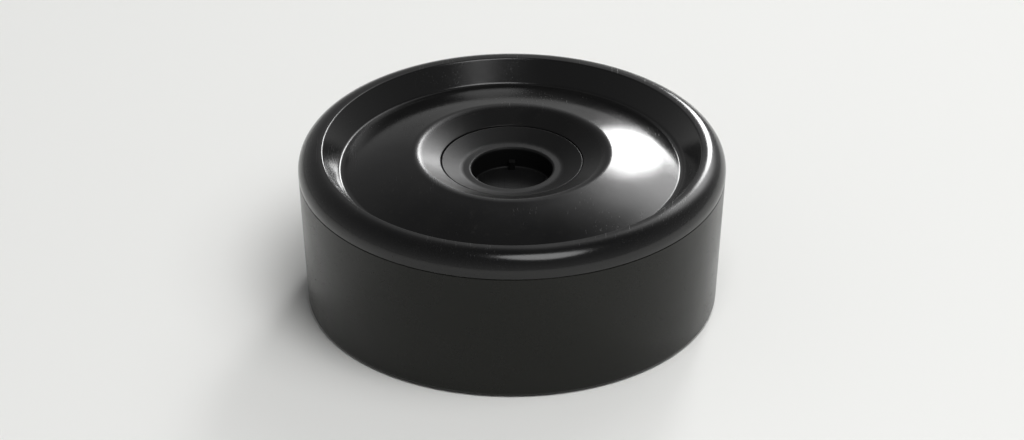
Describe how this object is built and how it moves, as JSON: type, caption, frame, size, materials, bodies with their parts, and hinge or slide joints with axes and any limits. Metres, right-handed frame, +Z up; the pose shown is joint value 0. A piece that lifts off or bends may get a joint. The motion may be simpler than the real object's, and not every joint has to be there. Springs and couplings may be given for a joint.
{
  "type": "checkers piece",
  "caption": "Large round hollow checkers piece: a tapered tub closed by a snap-in lid with a rounded rim, a sloping crown and a dished middle, and a screw-in filler plug set flush in the dish.",
  "frame": {"origin": "centre of the foot, on the ground", "axes": "+Z up along the piece's own axis, X and Y level; the rings and the plug face +Z"},
  "size_m": [0.2538, 0.2538, 0.098],
  "materials": {
    "tub_plastic": "moulded black, semi-gloss",
    "lid_plastic": "moulded black, gloss",
    "plug_plastic": "moulded black, gloss",
    "seal_rubber": "matte"
  },
  "bodies": {
    "piece": {"tub": "tub_plastic", "lid": "lid_plastic"},
    "seal": {"plug_seal": "seal_rubber"},
    "plug": {"filler_plug": "plug_plastic"}
  },
  "joints": [
    {"name": "plug_lift", "type": "slide", "parent": "piece", "child": "seal", "axis": [0, 0, 1], "range_m": [0, 0.0121]},
    {"name": "plug_turn", "type": "hinge", "parent": "seal", "child": "plug", "pos_m": [0, 0, 0.083], "axis": [0, 0, 1], "range_deg": [0, 1080]}
  ],
  "couplings": [
    {"joint": "plug_lift", "follows": "plug_turn", "m_per_rad": 0.00063662}
  ]
}
